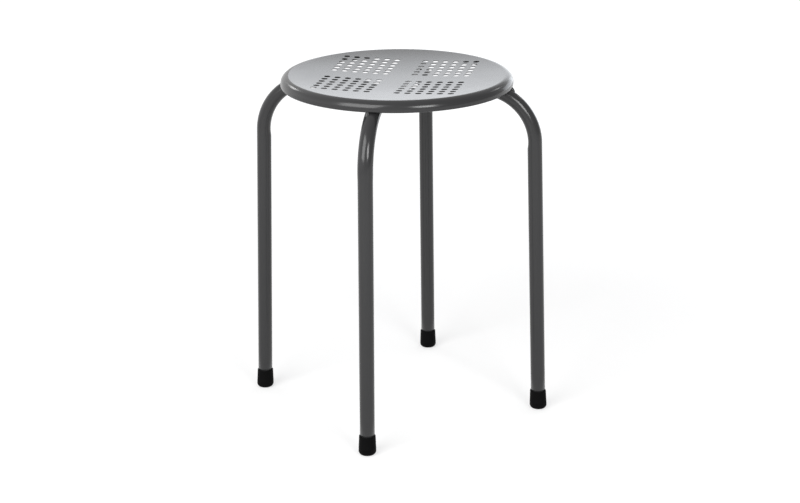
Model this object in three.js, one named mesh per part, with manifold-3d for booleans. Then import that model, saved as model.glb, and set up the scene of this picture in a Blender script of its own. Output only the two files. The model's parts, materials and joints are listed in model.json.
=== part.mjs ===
// Stacking stool: a dished, perforated steel seat on two crossed U tubes with rubber feet.
// Millimetres, +Z up. The origin lies on the floor under the middle of the seat. The left-right
// tube runs along X, dips under the front-back tube, and the two are welded where they cross.
import * as THREE from 'three';
import { mergeGeometries, mergeVertices } from 'three/addons/utils/BufferGeometryUtils.js';
import Module from 'manifold-3d';

const wasm = await Module();
wasm.setup();

// Whole stool
const overall_height = 450;        // floor to the crest of the seat's rim
const seat_diameter = 300;
const foot_circle_diameter = 380;  // across the middles of two opposite feet, on the floor
const seat_gap = 0.3;              // between pieces that touch

// Seat pressing
const sheet_thickness = 0.8;
const dish_depth = 5.7;            // from the rim's crest down to the middle of the seat
const rim_depth = 14.2;            // from the rim's crest down to its lower edge
const crown_radius = 10;           // outer radius of the rim's upper edge
const hem_radius = 2;              // outer radius of the edge where the sheet is turned in
const hem_return = 1.5;            // straight end of the turned-in edge

// Perforation: four square groups of holes, with a plain cross between them
const hole_diameter = 7.8;
const hole_pitch = 13.7;
const holes_per_side = 6;
const plain_cross_width = 38.4;    // between the nearest hole rows of two neighbouring groups

// Leg tubes
const tube_diameter = 19;
const tube_wall = 1.2;
const leg_bend_radius = 70;        // of the tube's middle line
const bend_clearance = 2.0;        // more gap to the sheet where a leg bend starts than at the middle
const bend_flattening = 0.9;       // lost from the tube's height on the inner side of a leg bend
const flattening_run = 10;         // straight tube after a leg bend, over which it is round again

// Dip of the lower tube under the upper one
const dip_bend_radius = 35;
const knee_bend_radius = 35;
const knee_distance = 42;          // from the middle of the seat to the corner beside the dip
const knee_drop = 3.8;             // of that corner below the upper tube's middle line

// Rubber feet
const foot_height = 25;
const foot_lip_wall = 0.8;
const foot_widest_diameter = 22.6;
const foot_corner_radius = 5;
const foot_sole_thickness = 5;
const tread_groove_radius = 3.8;
const tread_groove_width = 1.2;
const tread_groove_depth = 0.8;

// Weld beads
const rim_weld_length = 13;        // down the corner between the rim and the tube
const rim_weld_width = 5.6;
const rim_weld_height = 7;
const rim_weld_angle = 32;         // degrees round the tube from its top to the bead
const crossing_weld_length = 11;
const crossing_weld_width = 5.6;
const crossing_weld_height = 4.8;
const crossing_weld_angle = 50;    // degrees below the level of the upper tube's middle line

// Facets
const seat_segments = 48;
const hole_sides = 8;
const tube_sides = 16;
const foot_segments = 16;
const bead_segments = 8;
const bend_steps = 7;
const bowl_steps = 3;
const crown_steps = 4;
const hem_steps = 4;
const edge_steps = 3;
const fitting_rounds = 12;

// Sizes worked out from the ones above
const tube_radius = tube_diameter / 2;
const seat_radius = seat_diameter / 2;
const crown_centre = new THREE.Vector2(seat_radius - crown_radius, overall_height - crown_radius);
const hem_centre = new THREE.Vector2(
  seat_radius - hem_radius, overall_height - rim_depth + hem_radius);
const dish_floor = overall_height - dish_depth;
const dish_underside = dish_floor - sheet_thickness;
const upper_tube_level = dish_underside - seat_gap - tube_radius;
const lower_tube_level = upper_tube_level - tube_diameter - seat_gap;
const leg_bend_centre = findLegBendCentre();
const splay = findSplay();

// The leg's bend starts under the dished sheet and passes right under the seat's hem. Its centre
// is found in a few rounds, since the sheet's height over it follows from its place.
function findLegBendCentre() {
  const reach = leg_bend_radius + tube_radius + seat_gap + hem_radius;
  const centre = new THREE.Vector2(hem_centre.x - leg_bend_radius, 0);
  for (let round = 0; round < fitting_rounds; round += 1) {
    const run_level = upper_tube_level + dishRise(centre.x) - bend_clearance;
    centre.y = run_level - leg_bend_radius;
    centre.x = hem_centre.x - Math.sqrt(reach ** 2 - (hem_centre.y - centre.y) ** 2);
  }
  return centre;
}

// The angle that each leg leans outwards, from the end of its bend to the middle of its foot
function findSplay() {
  const toFoot = new THREE.Vector2(
    foot_circle_diameter / 2 - leg_bend_centre.x, leg_bend_centre.y);
  return Math.atan2(toFoot.x, toFoot.y) - Math.asin(leg_bend_radius / toFoot.length());
}

// How far the dished sheet has risen at a distance from its middle
function dishRise(distance) {
  const rimSlope = bowlAngle(dish_floor, crown_centre, crown_radius);
  const joint = pointOnArc(crown_centre, crown_radius, rimSlope, 1);
  return (joint.y - dish_floor) * (distance / joint.x) ** 2;
}

// Angle at which a shallow bowl, level at the axis, meets a rounded shoulder without a kink
function bowlAngle(bowlLevel, shoulderCentre, shoulderRadius) {
  const rise = shoulderRadius - (bowlLevel - shoulderCentre.y);
  return 2 * Math.atan(rise / shoulderCentre.x);
}

// Point of a circle where a path that curves round it has the given slope
function pointOnArc(centre, radius, slope, side) {
  return new THREE.Vector2(
    centre.x - side * radius * Math.sin(slope), centre.y + side * radius * Math.cos(slope));
}

// Stations of a path: each has its place in the X-Z plane, its slope and the tube's flattening.
// Side is 1 where the path curves down round the centre and -1 where it curves up round it.
function arcStations(centre, radius, from, to, steps, side) {
  return Array.from({ length: steps + 1 }, (_, i) => {
    const slope = from + (to - from) * (i / steps);
    return { point: pointOnArc(centre, radius, slope, side), slope, flat: 0 };
  });
}

function bowlPoints(level, end, steps) {
  return Array.from({ length: steps }, (_, i) => {
    const done = i / steps;
    return new THREE.Vector2(end.x * done, level + (end.y - level) * done * done);
  });
}

// Both tubes share the leg: its bend from the given slope, then the straight part to the foot.
// The bend is flattened on its inner side, and a little way into the straight part.
function legStations(slope) {
  const down = splay - Math.PI / 2;
  const bend = arcStations(leg_bend_centre, leg_bend_radius, slope, down, bend_steps, 1)
    .map((station, i) => ({ ...station, flat: i > 0 ? bend_flattening : 0 }));
  const endLevel = foot_sole_thickness + seat_gap + tube_radius * Math.abs(Math.sin(splay));
  const end = new THREE.Vector2(
    foot_circle_diameter / 2 - endLevel * Math.tan(splay), endLevel);
  const toEnd = end.clone().sub(bend.at(-1).point);
  const round = bend.at(-1).point.clone().addScaledVector(toEnd, flattening_run / toEnd.length());
  return [...bend, { point: round, slope: down, flat: 0 }, { point: end, slope: down, flat: 0 }];
}

// Upper tube: its run is bowed a little, so that it lies along the dished sheet
function upperHalf() {
  const slope = bowlAngle(upper_tube_level, leg_bend_centre, leg_bend_radius);
  const joint = pointOnArc(leg_bend_centre, leg_bend_radius, slope, 1);
  const run = bowlPoints(upper_tube_level, joint, bowl_steps).map((point) => ({
    point, slope: slope * (point.x / joint.x), flat: 0 }));
  return [...run, ...legStations(slope)];
}

// Lower tube: a dip under the upper tube, a knee, and an arm that rises to the leg's bend
function lowerHalf() {
  const knee = new THREE.Vector2(knee_distance, upper_tube_level - knee_drop);
  const dipCentre = new THREE.Vector2(0, lower_tube_level + dip_bend_radius);
  const toKnee = knee.clone().sub(dipCentre);
  const dipSlope = Math.atan2(toKnee.y, toKnee.x) + Math.asin(dip_bend_radius / toKnee.length());
  const toBend = leg_bend_centre.clone().sub(knee);
  const armSlope = Math.atan2(toBend.y, toBend.x) + Math.asin(leg_bend_radius / toBend.length());
  const setback = knee_bend_radius * Math.tan((dipSlope - armSlope) / 2);
  const kneeStart = new THREE.Vector2(
    knee.x - setback * Math.cos(dipSlope), knee.y - setback * Math.sin(dipSlope));
  const kneeCentre = pointOnArc(kneeStart, knee_bend_radius, dipSlope, -1);
  return [
    ...arcStations(dipCentre, dip_bend_radius, 0, dipSlope, edge_steps, -1),
    ...arcStations(kneeCentre, knee_bend_radius, dipSlope, armSlope, edge_steps, 1),
    ...legStations(armSlope),
  ];
}

function wholePath(half) {
  const mirrored = half.slice(1).reverse().map(({ point, slope, flat }) => ({
    point: new THREE.Vector2(-point.x, point.y), slope: -slope, flat }));
  return [...mirrored, ...half];
}

// One ring of points round a station, in the order that faces the tube's outside. The tube is
// flattened on the side away from the seat and a little wider for it.
function sectionRing({ point, slope, flat }, radius) {
  const wide = radius + flat / 4;
  return Array.from({ length: tube_sides }, (_, i) => {
    const turn = -2 * Math.PI * i / tube_sides;
    const inner = Math.max(-Math.cos(turn), 0);
    const lift = radius * Math.cos(turn) + flat * inner ** 2;
    return [
      point.x - lift * Math.sin(slope), wide * Math.sin(turn), point.y + lift * Math.cos(slope)];
  });
}

function closedGeometry(positions, index) {
  const geometry = new THREE.BufferGeometry();
  geometry.setAttribute('position', new THREE.Float32BufferAttribute(positions, 3));
  geometry.setIndex(index);
  geometry.computeVertexNormals();
  return geometry;
}

// A skin of quads round a closed loop of rings: out along the first rings, back along the rest
function loopedSkin(rings) {
  const index = [];
  rings.forEach((ring, r) => {
    const here = r * ring.length;
    const next = ((r + 1) % rings.length) * ring.length;
    for (let i = 0; i < ring.length; i += 1) {
      const j = (i + 1) % ring.length;
      index.push(here + i, here + j, next + j, here + i, next + j, next + i);
    }
  });
  return closedGeometry(rings.flat(2), index);
}

function hollowTube(path) {
  const outer = path.map((station) => sectionRing(station, tube_radius));
  const bore = path.map((station) => sectionRing(station, tube_radius - tube_wall));
  return loopedSkin([...outer, ...bore.reverse()]);
}

// The space that a tube takes up with its clearance, closed at both ends, for cutting
function filledTube(path, radius) {
  const rings = path.map((station) => sectionRing(station, radius));
  const skin = loopedSkin(rings);
  const positions = [...skin.attributes.position.array];
  const last = rings.length - 1;
  const walls = [...skin.index.array].slice(0, 6 * tube_sides * last);
  const centres = [0, last].map((r) => {
    positions.push(path[r].point.x, 0, path[r].point.y);
    return positions.length / 3 - 1;
  });
  for (let i = 0; i < tube_sides; i += 1) {
    const j = (i + 1) % tube_sides;
    walls.push(centres[0], j, i);
    walls.push(centres[1], last * tube_sides + i, last * tube_sides + j);
  }
  return closedGeometry(positions, walls);
}

// Turned solid: the profile's points are distances from the axis and heights
function turned(profile, segments) {
  return new THREE.LatheGeometry(profile, segments).rotateX(Math.PI / 2);
}

function signedVolume(positions, triangles) {
  const corner = (n) => new THREE.Vector3().fromArray(positions, 3 * triangles[n]);
  let volume = 0;
  for (let n = 0; n < triangles.length; n += 3) {
    volume += corner(n).dot(corner(n + 1).cross(corner(n + 2)));
  }
  return volume;
}

function toManifold(geometry) {
  const bare = geometry.clone();
  bare.deleteAttribute('normal');
  bare.deleteAttribute('uv');
  const merged = mergeVertices(bare);
  const vertProperties = Float32Array.from(merged.attributes.position.array);
  const triVerts = Uint32Array.from(merged.index.array);
  if (signedVolume(vertProperties, triVerts) < 0) triVerts.reverse();
  return new wasm.Manifold(new wasm.Mesh({ numProp: 3, vertProperties, triVerts }));
}

function fromManifold(solid) {
  const mesh = solid.getMesh();
  return closedGeometry(mesh.vertProperties, [...mesh.triVerts]);
}

function edgeArc(centre, radius, from, to, steps) {
  return arcStations(centre, radius, from, to, steps, 1).map(({ point }) => point);
}

// Seat pressing: dished sheet, rounded crown, short skirt and an edge turned in and up
function seatProfile() {
  const rimSlope = bowlAngle(dish_floor, crown_centre, crown_radius);
  const innerCrown = crown_radius - sheet_thickness;
  const innerHem = hem_radius - sheet_thickness;
  const hemInside = hem_centre.x - hem_radius;
  const hemTop = hem_centre.y + hem_return;
  const topJoint = pointOnArc(crown_centre, crown_radius, rimSlope, 1);
  const underJoint = pointOnArc(crown_centre, innerCrown, rimSlope, 1);
  return [
    ...bowlPoints(dish_floor, topJoint, bowl_steps),
    ...edgeArc(crown_centre, crown_radius, rimSlope, -Math.PI / 2, crown_steps),
    ...edgeArc(hem_centre, hem_radius, -Math.PI / 2, -Math.PI * 3 / 2, hem_steps),
    new THREE.Vector2(hemInside, hemTop),
    new THREE.Vector2(hemInside + sheet_thickness, hemTop),
    ...edgeArc(hem_centre, innerHem, -Math.PI * 3 / 2, -Math.PI / 2, hem_steps / 2),
    ...edgeArc(crown_centre, innerCrown, -Math.PI / 2, rimSlope, crown_steps - 1),
    ...bowlPoints(dish_underside, underJoint, bowl_steps).reverse(),
  ];
}

function perforation() {
  const punches = [];
  for (const side of [-1, 1]) {
    for (const depth of [-1, 1]) {
      for (let column = 0; column < holes_per_side; column += 1) {
        for (let row = 0; row < holes_per_side; row += 1) {
          const punch = new THREE.CylinderGeometry(
            hole_diameter / 2, hole_diameter / 2, rim_depth, hole_sides);
          punches.push(punch.rotateX(Math.PI / 2).translate(
            side * (plain_cross_width / 2 + column * hole_pitch),
            depth * (plain_cross_width / 2 + row * hole_pitch), dish_floor));
        }
      }
    }
  }
  return mergeGeometries(punches);
}

function seatPan() {
  const pressing = toManifold(turned(seatProfile(), seat_segments));
  return fromManifold(pressing.subtract(toManifold(perforation())));
}

// Rubber ferrule with a bore for the tube and a groove in its sole. It leans with the leg,
// while its sole stays flat on the floor.
function foot() {
  const bore = tube_radius + seat_gap;
  const lip = bore + foot_lip_wall;
  const widest = foot_widest_diameter / 2;
  const groove = tread_groove_radius + tread_groove_width;
  const corner = new THREE.Vector2(widest - foot_corner_radius, foot_corner_radius);
  const profile = [
    new THREE.Vector2(0, 0),
    new THREE.Vector2(tread_groove_radius, 0),
    new THREE.Vector2(tread_groove_radius, tread_groove_depth),
    new THREE.Vector2(groove, tread_groove_depth),
    new THREE.Vector2(groove, 0),
    ...edgeArc(corner, foot_corner_radius, -Math.PI, -Math.PI / 2, edge_steps),
    new THREE.Vector2(lip, foot_height),
    new THREE.Vector2(bore, foot_height),
    new THREE.Vector2(bore, foot_sole_thickness),
    new THREE.Vector2(0, foot_sole_thickness),
  ];
  const lean = new THREE.Matrix4().makeShear(0, 0, 0, 0, -Math.tan(splay), 0);
  return turned(profile, foot_segments).applyMatrix4(lean);
}

// A weld bead before it is cut to its neighbours
function bead(sizeX, sizeY, sizeZ) {
  return new THREE.SphereGeometry(1, bead_segments, bead_segments)
    .scale(sizeX / 2, sizeY / 2, sizeZ / 2);
}

// Bead on the +X leg, in the corner between the seat's rim and one flank of the tube under it.
// Side is 1 for the flank towards +Y and -1 for the other.
function rimWeld(half, side) {
  const around = THREE.MathUtils.degToRad(rim_weld_angle);
  const outerRadius = leg_bend_radius + tube_radius;
  const slope = -Math.asin((seat_radius - leg_bend_centre.x) / outerRadius);
  const bisector = (Math.PI / 2 + slope) / 2;
  const corner = pointOnArc(leg_bend_centre, outerRadius, slope, 1);
  const blank = bead(rim_weld_height, rim_weld_width, rim_weld_length)
    .rotateY(-bisector)
    .translate(corner.x, side * tube_radius * Math.sin(around), corner.y);
  const hem = new THREE.TorusGeometry(
    hem_centre.x, hem_radius + seat_gap, 2 * hem_steps, seat_segments);
  hem.translate(0, 0, hem_centre.y);
  const skirtRadius = seat_radius + seat_gap;
  const skirt = new THREE.CylinderGeometry(skirtRadius, skirtRadius, rim_depth, seat_segments)
    .rotateX(Math.PI / 2)
    .translate(0, 0, hem_centre.y + rim_depth / 2);
  const tube = filledTube(half, tube_radius + seat_gap);
  return fromManifold([hem, skirt, tube].reduce(
    (solid, neighbour) => solid.subtract(toManifold(neighbour)), toManifold(blank)));
}

// Bead in the corner between the two tubes where they cross, on the +X side
function crossingWeld() {
  const angle = THREE.MathUtils.degToRad(crossing_weld_angle);
  const out = tube_radius + seat_gap + crossing_weld_height / 4;
  const blank = bead(crossing_weld_width, crossing_weld_length, crossing_weld_height)
    .translate(out * Math.cos(angle), 0, upper_tube_level - out * Math.sin(angle));
  const lower = filledTube(wholePath(lowerHalf()), tube_radius + seat_gap);
  const upper = filledTube(wholePath(upperHalf()), tube_radius + seat_gap).rotateZ(Math.PI / 2);
  return fromManifold(toManifold(blank).subtract(toManifold(lower)).subtract(toManifold(upper)));
}

// Finishes
const seatPaint = new THREE.MeshStandardMaterial({
  color: 0x4a4c4e, roughness: 0.32, metalness: 0.35 });
const framePaint = new THREE.MeshStandardMaterial({
  color: 0x464747, roughness: 0.38, metalness: 0.3 });
const footRubber = new THREE.MeshStandardMaterial({
  color: 0x171717, roughness: 0.75, metalness: 0 });

const stool = new THREE.Group();
stool.name = 'stacking_stool';

function addPiece(parent, name, geometry, material) {
  const piece = new THREE.Mesh(geometry, material);
  piece.name = name;
  parent.add(piece);
  return piece;
}

addPiece(stool, 'seat_pan', seatPan(), seatPaint);
addPiece(stool, 'left_right_leg_tube', hollowTube(wholePath(lowerHalf())), framePaint);
const upperTube = addPiece(
  stool, 'front_back_leg_tube', hollowTube(wholePath(upperHalf())), framePaint);
upperTube.rotation.z = Math.PI / 2;

// One foot and one rim weld at each leg, in a group turned to that leg. Both beads of a tube are
// on the same flank of it.
const legs = [
  { name: 'right', turn: 0, half: lowerHalf(), weldSide: 1 },
  { name: 'back', turn: Math.PI / 2, half: upperHalf(), weldSide: 1 },
  { name: 'left', turn: Math.PI, half: lowerHalf(), weldSide: -1 },
  { name: 'front', turn: -Math.PI / 2, half: upperHalf(), weldSide: -1 },
];
for (const { name, turn, half, weldSide } of legs) {
  const leg = new THREE.Group();
  leg.rotation.z = turn;
  stool.add(leg);
  const ferrule = addPiece(leg, `${name}_foot`, foot(), footRubber);
  ferrule.position.x = foot_circle_diameter / 2;
  addPiece(leg, `${name}_rim_weld`, rimWeld(half, weldSide), framePaint);
}

for (const [name, turn] of [['right', 0], ['left', Math.PI]]) {
  const weld = addPiece(stool, `${name}_crossing_weld`, crossingWeld(), framePaint);
  weld.rotation.z = turn;
}

export default stool;
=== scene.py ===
# Stacking stool: fine meshes, finishes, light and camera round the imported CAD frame. Metres, +Z up.
import json
from math import asin, atan, atan2, cos, pi, radians, sin, sqrt, tan

import bpy
from mathutils import Matrix, Vector, noise
from mathutils.geometry import delaunay_2d_cdt


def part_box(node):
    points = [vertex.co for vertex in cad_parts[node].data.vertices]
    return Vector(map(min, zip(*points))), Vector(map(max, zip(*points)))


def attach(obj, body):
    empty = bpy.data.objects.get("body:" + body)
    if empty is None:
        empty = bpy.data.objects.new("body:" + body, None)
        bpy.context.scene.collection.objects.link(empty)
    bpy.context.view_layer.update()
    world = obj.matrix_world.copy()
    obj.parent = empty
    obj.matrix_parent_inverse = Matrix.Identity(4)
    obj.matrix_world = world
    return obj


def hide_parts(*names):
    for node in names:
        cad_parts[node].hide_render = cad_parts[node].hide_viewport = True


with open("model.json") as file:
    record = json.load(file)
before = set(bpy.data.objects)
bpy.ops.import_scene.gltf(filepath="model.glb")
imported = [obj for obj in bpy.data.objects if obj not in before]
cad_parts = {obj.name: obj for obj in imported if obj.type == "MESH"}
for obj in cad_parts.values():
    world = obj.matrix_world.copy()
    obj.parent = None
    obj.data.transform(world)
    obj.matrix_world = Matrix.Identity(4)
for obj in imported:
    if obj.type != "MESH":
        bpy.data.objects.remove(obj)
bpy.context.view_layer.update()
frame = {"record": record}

mm = 0.001

# Sizes read from the frame
pan_low, pan_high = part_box("seat_pan")
_, foot_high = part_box("right_foot")
mounts = {mount["name"]: Vector(mount["pos_m"]) for mount in frame["record"]["mounts"]}
overall_height = pan_high.z
seat_radius = pan_high.x
rim_depth = pan_high.z - pan_low.z
foot_circle_radius = mounts["right_foot_sole"].x
foot_height = foot_high.z

# Seat pressing
sheet_thickness = 0.8 * mm
dish_depth = 5.7 * mm              # of the seat's middle under the crown's top
crown_radius = 10 * mm
hem_radius = 2 * mm
hem_return = 1.5 * mm              # how far the turned-in edge rises above the hem's centre
hole_radius = 3.9 * mm
hole_pitch = 13.7 * mm
holes_per_side = 6
plain_cross_width = 38.4 * mm      # between the nearest hole centres of two groups
die_roll = 0.35 * mm               # rounding of a hole's edge on the side that the punch entered
breakout_round = 0.15 * mm         # rounding of the same hole's edge underneath

# Leg tubes
tube_radius = 9.5 * mm
tube_wall = 1.2 * mm
leg_bend_radius = 70 * mm
bend_clearance = 2.0 * mm          # between the dish's curve and the start of the leg bend
bend_flattening = 0.9 * mm         # lost from the tube's height in a leg bend, on its inner side
bulge_share = 0.25                 # of the flattening, by which the tube widens to each side there
flattening_run = 10 * mm           # along the tube, between round and flattened
dip_bend_radius = 35 * mm          # where the lower tube dips under the upper one
knee_bend_radius = 35 * mm         # where it levels out again on each side
knee_distance = 42 * mm            # of the knee's corner from the axis
knee_drop = 3.8 * mm               # of the same corner under the upper tube's middle
seat_gap = 0.3 * mm                # between pieces that touch on the real stool

# Rubber feet
foot_widest_radius = 11.3 * mm
foot_corner_radius = 5 * mm
foot_lip_wall = 1.1 * mm
foot_lip_round = 0.5 * mm
foot_sole_thickness = 5 * mm
foot_squeeze = 0.05 * mm           # how far the tube widens the bore
parting_line_height = 9 * mm
parting_line_width = 0.5 * mm
parting_line_relief = 0.12 * mm
parting_line_shares = ((-1, 0), (-0.5, 1), (0.5, 1), (1, 0))      # up, of its width; out, of its relief
tread_groove_radius = 3.8 * mm
tread_groove_width = 1.2 * mm
tread_groove_depth = 0.8 * mm
groove_round = 0.2 * mm
groove_round_shares = ((-1, 0), (-0.25, 0.25), (0, 1))            # into the groove and upwards
sole_ring_share = 0.5              # of the groove's radius, where the sole has a ring of facets

# Weld beads
rim_weld_length = 11.5 * mm
rim_weld_width = 5 * mm
rim_weld_height = 4.6 * mm
rim_weld_angle = radians(22)       # round the tube, from its outer side to the bead's middle
crossing_weld_length = 11 * mm
crossing_weld_width = 5.6 * mm
crossing_weld_height = 4.8 * mm
crossing_weld_angle = radians(50)  # round the upper tube, from its flank downwards
crossing_weld_lift_share = 0.25    # of the bead's height, from seat_gap off the tube to its middle
ripple_pitch = 1.5 * mm
ripple_depth_share = 0.03          # of the bead's width and height
ripple_bow_share = 0.35            # of a ripple's pitch, by which its middle leads its ends
bead_fullness = 2                  # power of the bead's outline: 2 is an ellipse
bead_unevenness = 0.07 * mm
unevenness_spacing = 3 * mm        # between one bump of the unevenness and the next
bead_seed = 1                      # of the unevenness, which is then the same each run

# Each leg's name, its quarter turns from +X and the flank of its tube that has the rim bead
legs = (("right", 0, 1), ("back", 1, 1), ("left", 2, -1), ("front", 3, -1))
crossing_sides = (("right", 0), ("left", 2))

# Facets
rim_segments = 240
hole_segments = 28
tube_segments = 56
foot_segments = 96
roll_steps = 3
breakout_steps = 2
crown_steps = 14
hem_steps = 12
foot_corner_steps = 12
lip_steps = 6                      # of the small arcs at the hem's end and at the feet's lips
bend_steps = 56
dip_steps = 14
run_steps = 12
flattening_steps = 10
leg_steps = 8
bead_rings = 44
bead_segments = 28
cells_per_pitch = 2                # of the grid that fills the dish between the holes
hole_margin_share = 0.125          # of a cell, kept free round each hole
edge_margin_share = 0.5            # of a cell, kept free inside the dish's edge
plan_tolerance = 1e-7              # within which the triangulation joins points
fitting_rounds = 12                # of the sum that finds the leg bend's centre

# Finishes: noises as cells to the metre and level of detail, bumps as height and strength
noise_span = (0.3, 0.7)            # the range that the noise mostly keeps to
paint_colour = (0.024, 0.024, 0.025)
paint_tone_shares = (0.93, 1.08)   # of the colour, in its darkest and its lightest clouds
paint_roughness = (0.17, 0.21)
paint_ior = 1.46
paint_clouds = (14, 2.0)
paint_peel = (420, 1.5)
paint_grain = (2600, 1.0)
peel_bump = (0.004 * mm, 0.6)
grain_bump = (0.0005 * mm, 0.6)
rubber_colour = (0.0022, 0.0022, 0.0023)
rubber_dust_share = 1.6            # of the colour, where it is dustiest
rubber_roughness = (0.55, 0.7)
rubber_specular = 0.05
rubber_mottle = (60, 4.0)
rubber_grain = (1500, 2.0)
rubber_bump = (0.02 * mm, 0.5)

# Camera, set so that the stool lies over the one in the photograph, which is 800 x 503 pixels
image_width_px = 800
camera_focal_px = 1933
camera_distance = 2.428            # along the floor from the stool's axis
camera_height = 1.033
camera_azimuth = radians(12.68)    # from straight in front of the front leg, towards the right leg
camera_pitch = radians(18.77)
camera_roll = radians(-0.50)
camera_yaw = radians(0.047)        # to the right, away from the stool's axis
sensor_width_mm = 36

# Studio
white = (1, 1, 1, 1)
world_light = 0.5                  # on the stool; the backdrop looks white all the same
backdrop_top = radians(16)         # elevation at which reflections of the backdrop start to dim
ceiling_start = radians(26)        # elevation from which they are as dim as the ceiling
ceiling_brightness = 0.85
left_brightness = 1.35
right_brightness = 0.5
floor_half_width = 6
floor_grey = (0.5, 0.5, 0.5, 1)
floor_roughness = 0.9
glow_distances = (0.3, floor_half_width)      # from the stool's axis
glow_strengths = (0.545, 1.05)                # of the floor, at those distances
softbox_colour = (1.0, 1.0, 1.0)
daylight_colour = (0.9, 0.94, 1.0)
panel_distance = 2.2

# Light panels: azimuth from the camera's side to the right and elevation, both in degrees,
# then width and height, radiance and colour
light_panels = {
    "left_softbox": (-38, 30, (1.45, 1.6), 4.6, softbox_colour),
    "right_softbox": (26.5, 22, (0.74, 0.85), 9.5, softbox_colour),
    "rear_panel": (170, 6, (1.3, 1.05), 1.09, daylight_colour),
    "right_rear_panel": (141, 3, (1.2, 0.8), 1.7, daylight_colour),
    "left_rear_strip": (-142, 26, (0.5, 0.25), 7.0, softbox_colour),
    "right_rear_strip": (131, 28, (0.3, 0.2), 4.2, softbox_colour),
}

# Derived places and sizes
crown_centre = Vector((seat_radius - crown_radius, overall_height - crown_radius))
hem_centre = Vector((seat_radius - hem_radius, overall_height - rim_depth + hem_radius))
dish_floor = overall_height - dish_depth
dish_underside = dish_floor - sheet_thickness
upper_tube_level = dish_underside - seat_gap - tube_radius
lower_tube_level = upper_tube_level - 2 * tube_radius - seat_gap
rim_weld_size = (rim_weld_length, rim_weld_width, rim_weld_height)
crossing_weld_size = (crossing_weld_length, crossing_weld_width, crossing_weld_height)


def bowl_angle(bowl_level, shoulder_centre, shoulder_radius):
    """Slope at which a shallow bowl, level at the axis, meets a rounded shoulder without a kink."""
    rise = shoulder_radius - (bowl_level - shoulder_centre.y)
    return 2 * atan(rise / shoulder_centre.x)


def on_arc(centre, radius, slope, side=1):
    """Point of a circle where a path that curves round it has the given slope."""
    return Vector((centre.x - side * radius * sin(slope), centre.y + side * radius * cos(slope)))


def shares(steps):
    return [i / steps for i in range(steps + 1)]


def between(start, end, steps):
    """Evenly spaced values from start to end."""
    return [start + (end - start) * share for share in shares(steps)]


def smooth_step(share):
    share = min(max(share, 0), 1)
    return share * share * (3 - 2 * share)


rim_slope = bowl_angle(dish_floor, crown_centre, crown_radius)
dish_edge = on_arc(crown_centre, crown_radius, rim_slope)
dish_under_edge = on_arc(crown_centre, crown_radius - sheet_thickness, rim_slope)


def dish_rise(distance):
    return (dish_edge.y - dish_floor) * (distance / dish_edge.x) ** 2


def find_leg_bend_centre():
    """The bend starts bend_clearance under the dish's curve and passes the hem with seat_gap."""
    reach = leg_bend_radius + tube_radius + seat_gap + hem_radius
    centre = Vector((hem_centre.x - leg_bend_radius, 0))
    for _ in range(fitting_rounds):
        run_level = upper_tube_level + dish_rise(centre.x) - bend_clearance
        centre.y = run_level - leg_bend_radius
        centre.x = hem_centre.x - sqrt(reach ** 2 - (hem_centre.y - centre.y) ** 2)
    return centre


leg_bend_centre = find_leg_bend_centre()
to_foot = Vector((foot_circle_radius - leg_bend_centre.x, leg_bend_centre.y))
splay = atan2(to_foot.x, to_foot.y) - asin(leg_bend_radius / to_foot.length)


# Meshes
def add_piece(name, points, faces, material, nodes, normals=None):
    mesh = bpy.data.meshes.new(name)
    mesh.from_pydata([tuple(point) for point in points], [], faces)
    mesh.polygons.foreach_set("use_smooth", [True] * len(mesh.polygons))
    if normals:
        mesh.normals_split_custom_set_from_vertices([tuple(normal) for normal in normals])
    mesh.materials.append(material)
    piece = bpy.data.objects.new(name, mesh)
    bpy.context.scene.collection.objects.link(piece)
    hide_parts(*nodes)
    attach(piece, "root")
    return piece


def ring_faces(first, second, count):
    """Quads between two rings of points, given by the index of each ring's first point."""
    return [(first + i, first + (i + 1) % count, second + (i + 1) % count, second + i)
            for i in range(count)]


def turned(points, quarter_turns):
    """The points turned about the stool's axis."""
    spin = Matrix.Rotation(quarter_turns * pi / 2, 3, "Z")
    return [spin @ point for point in points]


# Seat pressing
def dish_point(flat, level, edge):
    """Place and normal of the dished sheet over a point of its plan."""
    rise = (edge.y - level) / edge.x ** 2
    place = Vector((flat.x, flat.y, level + rise * flat.length_squared))
    return place, Vector((-2 * rise * flat.x, -2 * rise * flat.y, 1)).normalized()


def hole_centres():
    first = plain_cross_width / 2
    steps = [first + i * hole_pitch for i in range(holes_per_side)]
    line = [-step for step in reversed(steps)] + steps
    return [Vector((x, y)) for x in line for y in line]


def unit_circle(count):
    return [Vector((cos(2 * pi * i / count), sin(2 * pi * i / count))) for i in range(count)]


def circle(centre, radius, count):
    return [centre + radius * out for out in unit_circle(count)]


def filling_points(centres):
    """Points of a grid that fill the dish's plan, clear of its edge and of the holes."""
    cell = hole_pitch / cells_per_pitch
    reach = dish_edge.x - edge_margin_share * cell
    margin = hole_radius + die_roll + hole_margin_share * cell
    offset = (plain_cross_width / 2) % cell
    line = [k * cell + offset for k in range(int(dish_edge.x / cell) + 1)]
    line = [-value for value in reversed(line)] + line
    grid = [Vector((x, y)) for x in line for y in line]
    return [point for point in grid if point.length <= reach
            and min((point - centre).length for centre in centres) >= margin]


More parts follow.
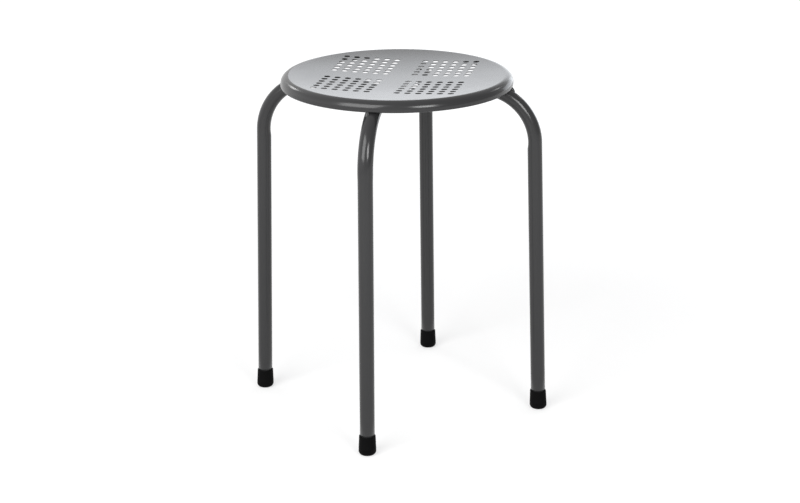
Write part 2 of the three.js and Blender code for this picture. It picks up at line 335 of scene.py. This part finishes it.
def dish_plan():
    """The sheet's plan as points and triangles: the edge's ring, each hole's ring, then the rest."""
    centres = hole_centres()
    rings = [circle(Vector((0, 0)), dish_edge.x, rim_segments)]
    rings += [circle(centre, hole_radius + die_roll, hole_segments) for centre in centres]
    points, edges, owners = [], [], []
    for n, ring in enumerate(rings):
        start, count = len(points), len(ring)
        edges += [(start + i, start + (i + 1) % count) for i in range(count)]
        owners += [n] * count
        points += ring
    filling = filling_points(centres)
    points += filling
    owners += [-1] * len(filling)
    _, _, triangles, origins, _, _ = delaunay_2d_cdt(points, edges, [], 0, plan_tolerance)
    places = [source[0] for source in origins]
    triangles = [tuple(places[n] for n in triangle) for triangle in triangles]

    def in_hole(corners):
        owner = owners[corners[0]]
        return owner > 0 and all(owners[n] == owner for n in corners)

    return points, [corners for corners in triangles if not in_hole(corners)]


def rim_profile():
    """From the dish's edge over the crown, down the skirt, round the hem and back underneath.
    Each entry is a point and its outward normal, both in the plane of radius and height."""
    tip_radius = sheet_thickness / 2
    tip = Vector((hem_centre.x - hem_radius + tip_radius, hem_centre.y + hem_return - tip_radius))
    # Centre, radius, first and last slope, steps, and 1 where the normal points away from the centre
    arcs = ((crown_centre, crown_radius, rim_slope, -pi / 2, crown_steps, 1),
            (hem_centre, hem_radius, -pi / 2, -3 * pi / 2, hem_steps, 1),
            (tip, tip_radius, pi / 2, -pi / 2, lip_steps, 1),
            (hem_centre, hem_radius - sheet_thickness, -3 * pi / 2, -pi / 2, lip_steps, -1),
            (crown_centre, crown_radius - sheet_thickness, -pi / 2, rim_slope, crown_steps, -1))
    profile = []
    for centre, radius, start, end, steps, facing in arcs:
        for slope in between(start, end, steps):
            normal = facing * Vector((-sin(slope), cos(slope)))
            profile.append((on_arc(centre, radius, slope), normal))
    return profile[1:-1]


def hole_edge():
    """Rings down a hole's wall: distance out from the wall, depth, and the normal's parts."""
    rings = []
    for angle in between(0, pi / 2, roll_steps)[1:]:
        rings.append((die_roll * (1 - sin(angle)), die_roll * (1 - cos(angle)),
                      Vector((sin(angle), cos(angle)))))
    for angle in between(0, pi / 2, breakout_steps):
        rings.append((breakout_round * (1 - cos(angle)),
                      sheet_thickness - breakout_round * (1 - sin(angle)),
                      Vector((cos(angle), -sin(angle)))))
    return rings


def dish_sides():
    """Points, normals and faces of the dish's upper side and, after them, of its lower side."""
    plan, triangles = dish_plan()
    count = len(plan)
    scale = dish_under_edge.x / dish_edge.x
    upper = [dish_point(flat, dish_floor, dish_edge) for flat in plan]
    lower = [dish_point(flat * scale, dish_underside, dish_under_edge) for flat in plan]
    points = [place for place, _ in upper + lower]
    normals = [normal for _, normal in upper] + [-normal for _, normal in lower]
    faces = triangles + [(count + c, count + b, count + a) for a, b, c in triangles]
    return points, normals, faces


def add_rim(points, normals, faces, under):
    """Crown, skirt and hem, from the edge of the upper side to that of the lower side."""
    previous = 0
    for point, facing in rim_profile():
        ring = len(points)
        for out in unit_circle(rim_segments):
            points.append(Vector((out.x * point.x, out.y * point.x, point.y)))
            normals.append(Vector((out.x * facing.x, out.y * facing.x, facing.y)))
        faces += ring_faces(ring, previous, rim_segments)
        previous = ring
    faces += ring_faces(under, previous, rim_segments)


def add_hole_walls(points, normals, faces, under):
    """The wall of each hole, from its ring in the upper side to its ring in the lower side."""
    for n, centre in enumerate(hole_centres()):
        top = rim_segments + n * hole_segments
        previous = top
        for inset, drop, facing in hole_edge():
            ring = len(points)
            for out in unit_circle(hole_segments):
                flat = centre + out * (hole_radius + inset)
                level = dish_point(flat, dish_floor, dish_edge)[0].z
                points.append(Vector((flat.x, flat.y, level - drop)))
                normals.append(Vector((-out.x * facing.x, -out.y * facing.x, facing.y)))
            faces += ring_faces(previous, ring, hole_segments)
            previous = ring
        faces += ring_faces(previous, under + top, hole_segments)


def seat_pressing(material):
    points, normals, faces = dish_sides()
    under = len(points) // 2
    add_rim(points, normals, faces, under)
    add_hole_walls(points, normals, faces, under)
    return add_piece("seat_pressing", points, faces, material, ["seat_pan"], normals)


# Leg tubes
def arc_stations(centre, radius, start, end, steps, side=1):
    """Stations of a tube's path: its point, its slope and how much the tube is flattened."""
    return [(on_arc(centre, radius, slope, side), slope, 0) for slope in between(start, end, steps)]


def leg_stations(slope):
    """The leg's bend, flattened on its inner side, and the straight part down to the foot."""
    down = splay - pi / 2
    stations = []
    for point, here, _ in arc_stations(leg_bend_centre, leg_bend_radius, slope, down, bend_steps):
        travelled = leg_bend_radius * abs(here - slope)
        flat = bend_flattening * smooth_step(travelled / flattening_run)
        stations.append((point, here, flat))
    end_level = foot_sole_thickness + seat_gap + tube_radius * abs(sin(splay))
    end = Vector((foot_circle_radius - end_level * tan(splay), end_level))
    start = stations[-1][0]
    round_again = start + flattening_run * (end - start).normalized()
    for share in shares(flattening_steps)[1:]:
        flat = bend_flattening * smooth_step(1 - share)
        stations.append((start.lerp(round_again, share), down, flat))
    return stations + [(round_again.lerp(end, share), down, 0) for share in shares(leg_steps)[1:]]


def upper_half():
    """The upper tube from the axis outwards: bowed along the dish, then the leg."""
    slope = bowl_angle(upper_tube_level, leg_bend_centre, leg_bend_radius)
    joint = on_arc(leg_bend_centre, leg_bend_radius, slope)
    run = []
    for share in shares(run_steps)[:-1]:
        level = upper_tube_level + (joint.y - upper_tube_level) * share ** 2
        run.append((Vector((joint.x * share, level)), slope * share, 0))
    return run + leg_stations(slope)


def lower_half():
    """The lower tube from the axis outwards: the dip under the upper tube, a knee, then the leg."""
    knee = Vector((knee_distance, upper_tube_level - knee_drop))
    dip_centre = Vector((0, lower_tube_level + dip_bend_radius))
    to_knee = knee - dip_centre
    dip_slope = atan2(to_knee.y, to_knee.x) + asin(dip_bend_radius / to_knee.length)
    to_bend = leg_bend_centre - knee
    arm_slope = atan2(to_bend.y, to_bend.x) + asin(leg_bend_radius / to_bend.length)
    setback = knee_bend_radius * tan((dip_slope - arm_slope) / 2)
    knee_start = knee - setback * Vector((cos(dip_slope), sin(dip_slope)))
    knee_centre = on_arc(knee_start, knee_bend_radius, dip_slope, -1)
    return (arc_stations(dip_centre, dip_bend_radius, 0, dip_slope, dip_steps, -1)
            + arc_stations(knee_centre, knee_bend_radius, dip_slope, arm_slope, dip_steps)
            + leg_stations(arm_slope))


def whole_path(half):
    mirrored = [(Vector((-point.x, point.y)), -slope, flat)
                for point, slope, flat in reversed(half[1:])]
    return mirrored + half


def section_ring(station, radius):
    """Ring round a tube. Its inner side, away from the seat, is flattened in the leg bends."""
    point, slope, flat = station
    ring = []
    for i in range(tube_segments):
        turn = 2 * pi * i / tube_segments
        inner_share = max(-cos(turn), 0)
        lift = radius * cos(turn) + flat * inner_share ** 2
        wide = (radius + bulge_share * flat) * sin(turn)
        ring.append(Vector((point.x - lift * sin(slope), wide, point.y + lift * cos(slope))))
    return ring


def leg_tube(name, node, half, quarter_turns, material):
    path = whole_path(half)
    rings = [section_ring(station, tube_radius) for station in path]
    rings += [section_ring(station, tube_radius - tube_wall) for station in reversed(path)]
    points = turned([point for ring in rings for point in ring], quarter_turns)
    faces = []
    for n in range(len(rings)):
        here, following = n * tube_segments, (n + 1) % len(rings) * tube_segments
        faces += ring_faces(following, here, tube_segments)
    return add_piece(name, points, faces, material, [node])


# Rubber feet
def arc_points(centre, radius, start, end, steps):
    return [on_arc(centre, radius, slope) for slope in between(start, end, steps)]


def groove_edge(radius, side):
    """The edge of the tread groove at a radius: into the groove for side 1, out of it for -1."""
    steps = [Vector((radius + side * across * groove_round, up * groove_round))
             for across, up in groove_round_shares]
    steps += [Vector((radius, tread_groove_depth - groove_round)),
              Vector((radius + side * groove_round, tread_groove_depth))]
    return steps if side == 1 else steps[::-1]


def foot_profile():
    """Points from the middle of the sole round the outside, over the lip and down the bore."""
    bore = tube_radius - foot_squeeze
    lip = tube_radius + foot_lip_wall
    lip_level = foot_height - foot_lip_round
    profile = [Vector((0, 0)), Vector((sole_ring_share * tread_groove_radius, 0))]
    profile += groove_edge(tread_groove_radius, 1)
    profile += groove_edge(tread_groove_radius + tread_groove_width, -1)
    corner = Vector((foot_widest_radius - foot_corner_radius, foot_corner_radius))
    profile += arc_points(corner, foot_corner_radius, -pi, -pi / 2, foot_corner_steps)
    wall_start, wall_end = profile[-1], Vector((lip, lip_level))
    for up, out in parting_line_shares:
        level = parting_line_height + up * parting_line_width
        share = (level - wall_start.y) / (wall_end.y - wall_start.y)
        profile.append(wall_start.lerp(wall_end, share) + Vector((out * parting_line_relief, 0)))
    outer_centre = Vector((lip - foot_lip_round, lip_level))
    inner_centre = Vector((bore + foot_lip_round, lip_level))
    profile += arc_points(outer_centre, foot_lip_round, -pi / 2, 0, lip_steps)
    profile += arc_points(inner_centre, foot_lip_round, 0, pi / 2, lip_steps)
    return profile + [Vector((bore, foot_sole_thickness)), Vector((0, foot_sole_thickness))]


def foot(name, node, quarter_turns, material):
    """The profile turned round the tube's end and sheared, so that it leans as the leg does."""
    points, faces, rings = [], [], []
    for place in foot_profile():
        rings.append(len(points))
        count = 1 if place.x == 0 else foot_segments
        for i in range(count):
            spin = 2 * pi * i / foot_segments
            x = foot_circle_radius + place.x * cos(spin) - tan(splay) * place.y
            points.append(Vector((x, place.x * sin(spin), place.y)))
    for here, following in zip(rings, rings[1:]):
        if here == 0:
            faces += [(following + i, following + (i + 1) % foot_segments, 0)
                      for i in range(foot_segments)]
        elif following == rings[-1]:
            faces += [(following, here + (i + 1) % foot_segments, here + i)
                      for i in range(foot_segments)]
        else:
            faces += ring_faces(here, following, foot_segments)
    points = turned(points, quarter_turns)
    return add_piece(name, points, faces, material, [node])


# Weld beads
def bead_mesh(length, width, height):
    """A rippled bead along X, as points and faces, with its middle at the origin."""
    points, faces = [Vector((-length / 2, 0, 0))], []
    ripples = length / ripple_pitch
    for ring in range(1, bead_rings):
        along = -cos(pi * ring / bead_rings)
        swell = (1 - abs(along) ** bead_fullness) ** (1 / bead_fullness)
        for i in range(bead_segments):
            turn = 2 * pi * i / bead_segments
            bow = ripple_bow_share * abs(sin(turn / 2 + pi / 4))
            phase = 2 * pi * (ripples * along / 2 + bow)
            size = swell * (1 + ripple_depth_share * cos(phase))
            points.append(Vector((along * length / 2, size * width / 2 * cos(turn),
                                  size * height / 2 * sin(turn))))
    tip = len(points)
    last = tip - bead_segments
    points.append(Vector((length / 2, 0, 0)))
    for i in range(bead_segments):
        after = (i + 1) % bead_segments
        faces += [(0, 1 + after, 1 + i), (tip, last + i, last + after)]
    for start in range(1, last, bead_segments):
        faces += ring_faces(start, start + bead_segments, bead_segments)
    return points, faces


def weld_bead(name, node, size, place, quarter_turns, material):
    """A bead of a size (length, width, height) moved by place, a 4 x 4 matrix for the +X side."""
    noise.seed_set(bead_seed)
    points, faces = bead_mesh(*size)
    spin = Matrix.Rotation(quarter_turns * pi / 2, 4, "Z") @ place
    placed = []
    for point in points:
        moved = spin @ point
        wobble = noise.noise_vector(moved / unevenness_spacing) * bead_unevenness
        placed.append(moved + wobble)
    return add_piece(name, placed, faces, material, [node])


def rim_weld_place(flank):
    """In the corner between the rim's skirt and the bend's outer side."""
    outer_radius = leg_bend_radius + tube_radius
    slope = -asin((seat_radius - leg_bend_centre.x) / outer_radius)
    corner = on_arc(leg_bend_centre, outer_radius, slope)
    bisector = (pi / 2 + slope) / 2
    centre = Vector((corner.x, flank * tube_radius * sin(rim_weld_angle), corner.y))
    return Matrix.Translation(centre) @ Matrix.Rotation(pi / 2 - bisector, 4, "Y")


def crossing_weld_place():
    """In the corner between the two tubes, along the upper one."""
    out = tube_radius + seat_gap + crossing_weld_lift_share * crossing_weld_height
    centre = Vector((out * cos(crossing_weld_angle), 0,
                     upper_tube_level - out * sin(crossing_weld_angle)))
    return Matrix.Translation(centre) @ Matrix.Rotation(pi / 2, 4, "Z")


# Shader nodes
def set_inputs(tree, node, inputs):
    """Gives each named input a value, or a link where what it is given is a socket."""
    for name, source in inputs.items():
        if isinstance(source, bpy.types.NodeSocket):
            tree.links.new(source, node.inputs[name])
        else:
            node.inputs[name].default_value = source


def add_node(tree, kind, inputs=None, **settings):
    node = tree.nodes.new("ShaderNode" + kind)
    for name, value in settings.items():
        setattr(node, name, value)
    set_inputs(tree, node, inputs or {})
    return node


def noise_field(tree, place, per_metre, detail):
    return add_node(tree, "TexNoise", {"Scale": per_metre, "Detail": detail,
                                       "Vector": place}).outputs["Fac"]


def map_range(tree, value, span, result):
    """The value, carried over from one span to another."""
    ends = {"From Min": span[0], "From Max": span[1], "To Min": result[0], "To Max": result[1]}
    return add_node(tree, "MapRange", {"Value": value, **ends}).outputs["Result"]


def colour_mix(tree, factor, first, second):
    return add_node(tree, "Mix", {"Factor": factor, "A": (*first, 1), "B": (*second, 1)},
                    data_type="RGBA").outputs["Result"]


def combine(tree, operation, first, second):
    return add_node(tree, "Math", {0: first, 1: second}, operation=operation).outputs["Value"]


def bump(tree, relief, height, strength, base=None):
    inputs = {"Height": relief, "Distance": height, "Strength": strength}
    if base is not None:
        inputs["Normal"] = base
    return add_node(tree, "Bump", inputs).outputs["Normal"]


def seen_rays(tree):
    """1 for camera, glossy and transmission rays, which see the background as white."""
    rays = add_node(tree, "LightPath").outputs
    seen = combine(tree, "MAXIMUM", rays["Is Camera Ray"], rays["Is Glossy Ray"])
    return combine(tree, "MAXIMUM", seen, rays["Is Transmission Ray"])


# Finishes
def new_material(name):
    material = bpy.data.materials.new(name)
    material.use_nodes = True
    return material, material.node_tree


def toned(colour, share):
    return tuple(share * value for value in colour)


def paint_material(name):
    """Dark satin powder coat: faint orange peel, slight unevenness of gloss and tone."""
    material, tree = new_material(name)
    place = add_node(tree, "TexCoord").outputs["Object"]
    clouds = noise_field(tree, place, *paint_clouds)
    peel = bump(tree, noise_field(tree, place, *paint_peel), *peel_bump)
    grain = noise_field(tree, place, *paint_grain)
    darker, lighter = [toned(paint_colour, share) for share in paint_tone_shares]
    set_inputs(tree, tree.nodes["Principled BSDF"], {
        "Base Color": colour_mix(tree, clouds, darker, lighter),
        "Roughness": map_range(tree, clouds, noise_span, paint_roughness),
        "IOR": paint_ior,
        "Normal": bump(tree, grain, *grain_bump, peel)})
    return material


def rubber_material(name):
    """Moulded black rubber: matt, finely mottled, a little dustier in patches."""
    material, tree = new_material(name)
    place = add_node(tree, "TexCoord").outputs["Object"]
    mottle = noise_field(tree, place, *rubber_mottle)
    grain = noise_field(tree, place, *rubber_grain)
    dusty = toned(rubber_colour, rubber_dust_share)
    set_inputs(tree, tree.nodes["Principled BSDF"], {
        "Base Color": colour_mix(tree, mottle, rubber_colour, dusty),
        "Roughness": map_range(tree, mottle, noise_span, rubber_roughness),
        "Specular IOR Level": rubber_specular,
        "Normal": bump(tree, grain, *rubber_bump)})
    return material


def floor_material(name):
    """Grey under the lamps, with a glow that the seen rays alone get, so that it looks white."""
    material, tree = new_material(name)
    shader = tree.nodes["Principled BSDF"]
    set_inputs(tree, shader, {"Base Color": floor_grey, "Roughness": floor_roughness,
                              "Specular IOR Level": 0})
    place = add_node(tree, "TexCoord").outputs["Object"]
    distance = add_node(tree, "VectorMath", {0: place}, operation="LENGTH").outputs["Value"]
    brightness = map_range(tree, distance, glow_distances, glow_strengths)
    strength = combine(tree, "MULTIPLY", seen_rays(tree), brightness)
    glow = add_node(tree, "Emission", {"Color": white, "Strength": strength})
    both = add_node(tree, "AddShader", {0: shader.outputs["BSDF"], 1: glow.outputs["Emission"]})
    set_inputs(tree, tree.nodes["Material Output"], {"Surface": both.outputs["Shader"]})
    material.cycles.emission_sampling = "NONE"
    return material


# Floor and studio
def add_floor():
    corners = [(x * floor_half_width, y * floor_half_width, 0)
               for x, y in ((-1, -1), (1, -1), (1, 1), (-1, 1))]
    mesh = bpy.data.meshes.new("floor")
    mesh.from_pydata(corners, [], [(0, 1, 2, 3)])
    mesh.materials.append(floor_material("pale_floor"))
    floor = bpy.data.objects.new("floor", mesh)
    bpy.context.scene.collection.objects.link(floor)


def add_world():
    """White backdrop all round for the camera. In reflections it dims upwards, from backdrop_top
    to the ceiling, and is brighter on the camera's left than on its right."""
    world = bpy.data.worlds.new("studio")
    bpy.context.scene.world = world
    world.use_nodes = True
    tree = world.node_tree
    plain = tree.nodes["Background"]
    set_inputs(tree, plain, {"Color": white, "Strength": world_light})
    direction = add_node(tree, "TexCoord").outputs["Generated"]
    height = add_node(tree, "SeparateXYZ", {"Vector": direction}).outputs["Z"]
    ceiling = map_range(tree, height, (sin(backdrop_top), sin(ceiling_start)),
                        (1, ceiling_brightness))
    left = (-cos(camera_azimuth), -sin(camera_azimuth), 0)
    leftward = add_node(tree, "VectorMath", {0: direction, 1: left}, operation="DOT_PRODUCT")
    sides = map_range(tree, leftward.outputs["Value"], (-1, 1), (right_brightness, left_brightness))
    reflected = combine(tree, "MULTIPLY", ceiling, sides)
    camera_rays = add_node(tree, "LightPath").outputs["Is Camera Ray"]
    backdrop = add_node(tree, "Background", {
        "Color": white, "Strength": combine(tree, "MAXIMUM", reflected, camera_rays)})
    mix = add_node(tree, "MixShader", {0: seen_rays(tree), 1: plain.outputs["Background"],
                                       2: backdrop.outputs["Background"]})
    set_inputs(tree, tree.nodes["World Output"], {"Surface": mix.outputs["Shader"]})


def add_panel(name, azimuth, elevation, size, radiance, colour):
    """A soft light panel that faces the seat."""
    light = bpy.data.lights.new(name, "AREA")
    light.shape = "RECTANGLE"
    light.size, light.size_y = size
    light.energy = radiance * pi * size[0] * size[1]
    light.color = colour
    panel = bpy.data.objects.new(name, light)
    bpy.context.scene.collection.objects.link(panel)
    turn = camera_azimuth + azimuth
    back = Vector((sin(turn) * cos(elevation), -cos(turn) * cos(elevation), sin(elevation)))
    panel.location = Vector((0, 0, overall_height)) + panel_distance * back
    panel.rotation_euler = back.to_track_quat("Z", "Y").to_euler()
    panel.visible_camera = False


def add_camera():
    camera = bpy.data.objects.new("camera", bpy.data.cameras.new("camera"))
    bpy.context.scene.collection.objects.link(camera)
    camera.data.sensor_width = sensor_width_mm
    camera.data.lens = camera_focal_px / image_width_px * sensor_width_mm
    heading = camera_azimuth - camera_yaw
    forward = Vector((-sin(heading) * cos(camera_pitch),
                      cos(heading) * cos(camera_pitch), -sin(camera_pitch)))
    right = forward.cross(Vector((0, 0, 1))).normalized()
    up = right.cross(forward)
    axes = (cos(camera_roll) * right + sin(camera_roll) * up,
            cos(camera_roll) * up - sin(camera_roll) * right, -forward)
    camera.matrix_world = Matrix.Translation(
        (camera_distance * sin(camera_azimuth), -camera_distance * cos(camera_azimuth),
         camera_height)) @ Matrix(axes).transposed().to_4x4()
    bpy.context.scene.camera = camera


# The stool
seat_paint = paint_material("seat_paint")
frame_paint = paint_material("frame_paint")
foot_rubber = rubber_material("foot_rubber")
seat_pressing(seat_paint)
leg_tube("left_right_tube", "left_right_leg_tube", lower_half(), 0, frame_paint)
leg_tube("front_back_tube", "front_back_leg_tube", upper_half(), 1, frame_paint)
for side, quarter_turns, flank in legs:
    foot(f"{side}_ferrule", f"{side}_foot", quarter_turns, foot_rubber)
    weld_bead(f"{side}_rim_bead", f"{side}_rim_weld", rim_weld_size,
              rim_weld_place(flank), quarter_turns, frame_paint)
for side, quarter_turns in crossing_sides:
    weld_bead(f"{side}_crossing_bead", f"{side}_crossing_weld", crossing_weld_size,
              crossing_weld_place(), quarter_turns, frame_paint)

# The studio
add_floor()
add_world()
for name, (azimuth, elevation, size, radiance, colour) in light_panels.items():
    add_panel(name, radians(azimuth), radians(elevation), size, radiance, colour)
add_camera()
bpy.context.scene.view_settings.view_transform = "Standard"
